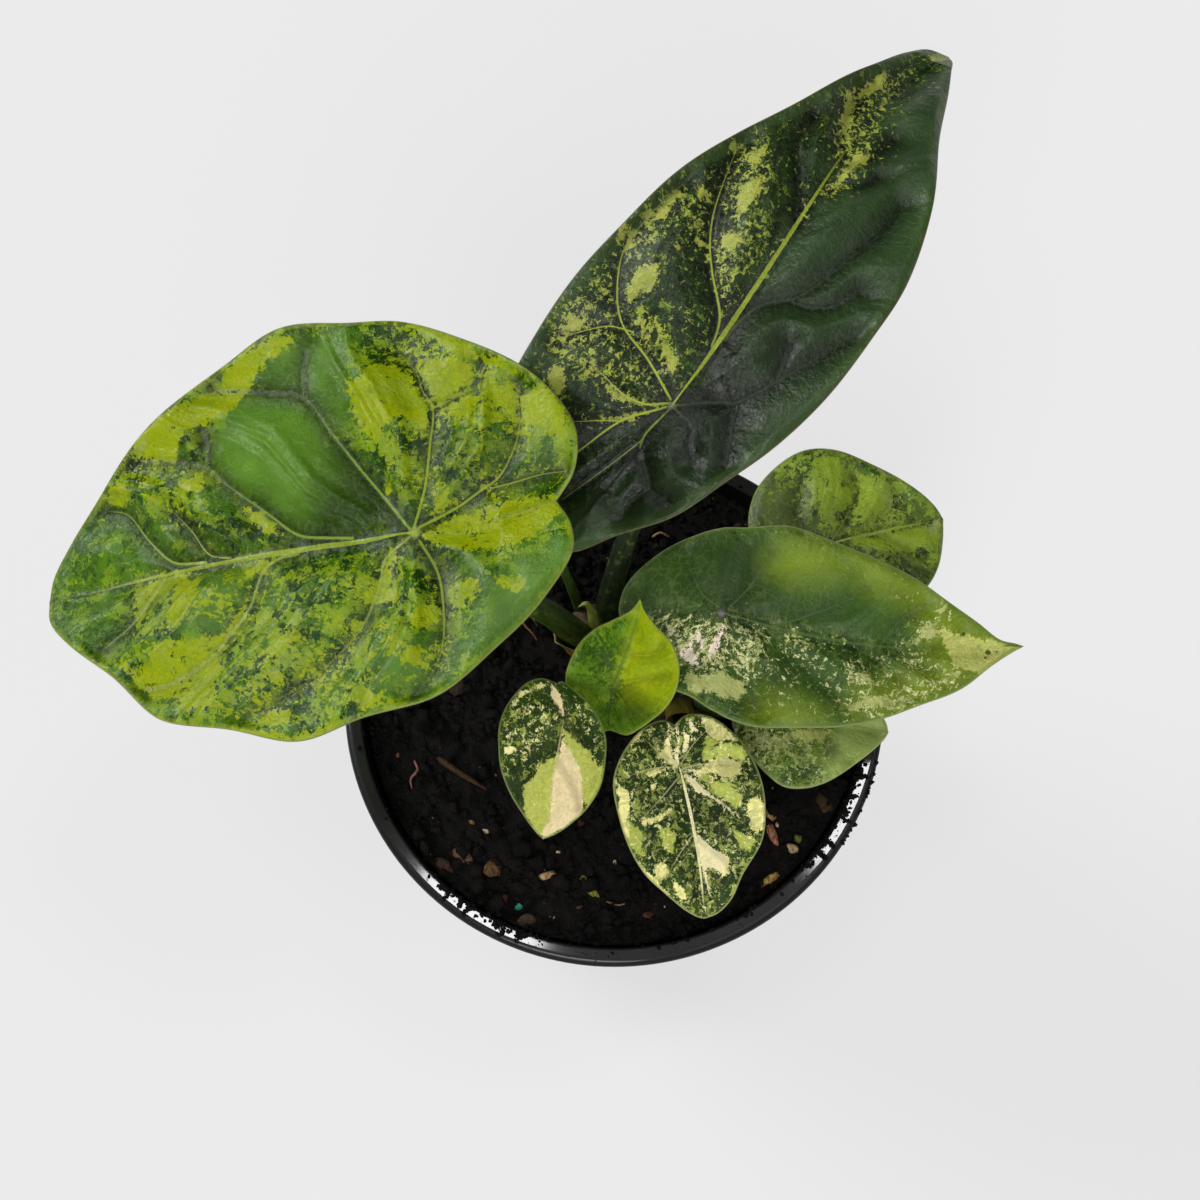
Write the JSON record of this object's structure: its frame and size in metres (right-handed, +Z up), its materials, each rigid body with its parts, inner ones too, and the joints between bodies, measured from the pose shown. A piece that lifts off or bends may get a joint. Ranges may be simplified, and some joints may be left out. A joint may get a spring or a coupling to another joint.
{
  "type": "potted variegated alocasia plant",
  "caption": "Young variegated alocasia with marbled green and cream leaves on tall stalks, standing in soil in a round black plastic nursery pot.",
  "frame": {"origin": "centre of the pot's flat base, on the surface that it stands on", "axes": "+Z up; -Y towards the side that the plant is seen from; +X to the right from there"},
  "size_m": [0.2185, 0.1949, 0.2063],
  "materials": {
    "pot_plastic": "satin",
    "soil": "matte",
    "stem_skin": "matte",
    "leaf_stalk": "satin",
    "blade_broad_left": "satin",
    "blade_tall_back": "satin",
    "blade_pointed_right": "satin",
    "blade_round_back_right": "satin",
    "blade_young_centre": "satin",
    "blade_small_front_left": "satin",
    "blade_small_front": "satin",
    "blade_low_right": "satin",
    "blade_hidden_left": "satin",
    "dry_sheath": "matte",
    "new_shoot": "satin"
  },
  "bodies": {
    "root": {"pot": "pot_plastic", "soil": "soil", "stem_left": "stem_skin", "stem_right": "stem_skin", "stalk_broad_left": "leaf_stalk", "blade_broad_left": "blade_broad_left", "stalk_tall_back": "leaf_stalk", "blade_tall_back": "blade_tall_back", "stalk_pointed_right": "leaf_stalk", "blade_pointed_right": "blade_pointed_right", "stalk_round_back_right": "leaf_stalk", "blade_round_back_right": "blade_round_back_right", "stalk_young_centre": "leaf_stalk", "blade_young_centre": "blade_young_centre", "stalk_small_front_left": "leaf_stalk", "blade_small_front_left": "blade_small_front_left", "stalk_small_front": "leaf_stalk", "blade_small_front": "blade_small_front", "stalk_low_right": "leaf_stalk", "blade_low_right": "blade_low_right", "stalk_hidden_left": "leaf_stalk", "blade_hidden_left": "blade_hidden_left", "sheath_left": "dry_sheath", "sheath_right": "dry_sheath", "shoot": "new_shoot"}
  },
  "joints": []
}
